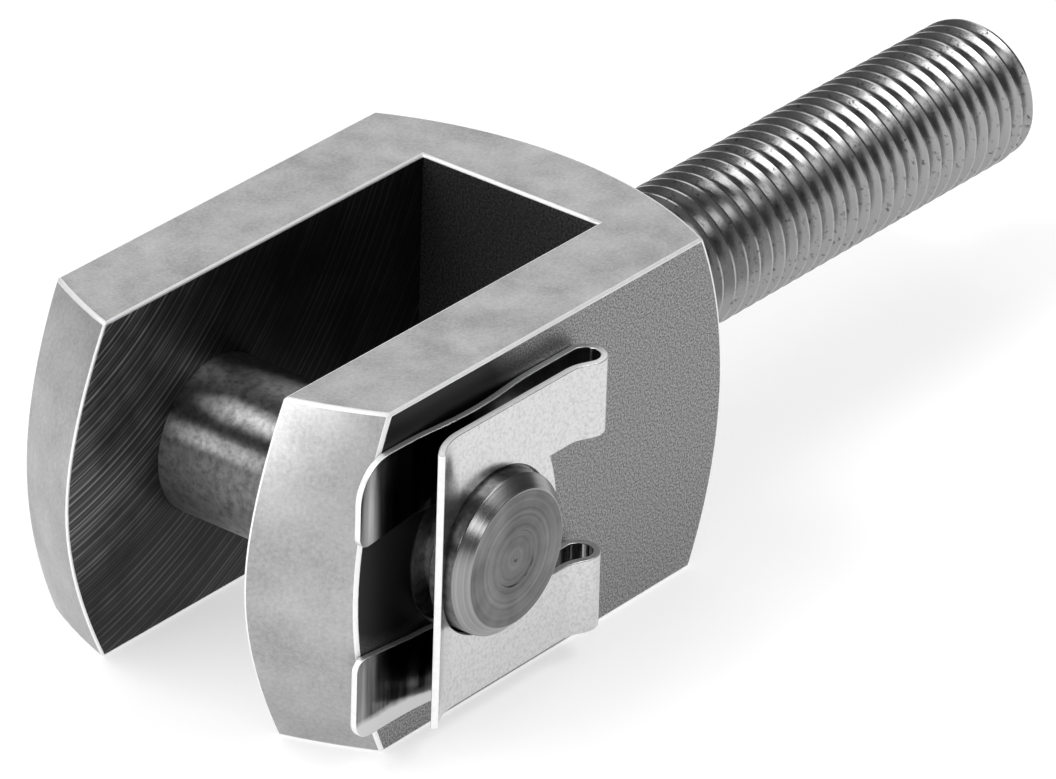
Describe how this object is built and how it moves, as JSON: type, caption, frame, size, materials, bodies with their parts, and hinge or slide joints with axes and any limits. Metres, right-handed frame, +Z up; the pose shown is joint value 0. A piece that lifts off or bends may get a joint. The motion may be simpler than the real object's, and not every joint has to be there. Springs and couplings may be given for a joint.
{
  "type": "tension rod clevis",
  "caption": "Slotted steel clevis with a threaded stud, a grooved cross pin between the ears and a folded spring clip that holds the pin.",
  "frame": {"origin": "middle of the clevis pin, midway between the two ears of the fork", "axes": "+X along the threaded stud away from the slot, -Y the side of the retaining clip, +Z up, normal to the fork's flat top face"},
  "size_m": [0.129, 0.0489, 0.0356],
  "materials": {
    "fork_steel": "fine ground steel, satin grey, with milled slot walls and a bright cut thread",
    "pin_steel": "bright turned steel with fine turning marks",
    "spring_steel": "bright rolled spring steel strip"
  },
  "bodies": {
    "fork": {"fork": "fork_steel"},
    "pin": {"clevis_pin": "pin_steel"},
    "clip": {"retaining_clip": "spring_steel"}
  },
  "joints": [
    {"name": "pin_turn", "type": "hinge", "parent": "fork", "child": "pin", "pos_m": [0, 0, 0], "axis": [0, -1, 0], "continuous": true},
    {"name": "clip_swing", "type": "hinge", "parent": "pin", "child": "clip", "pos_m": [0, -0.0215, 0], "axis": [0, -1, 0], "continuous": true}
  ]
}
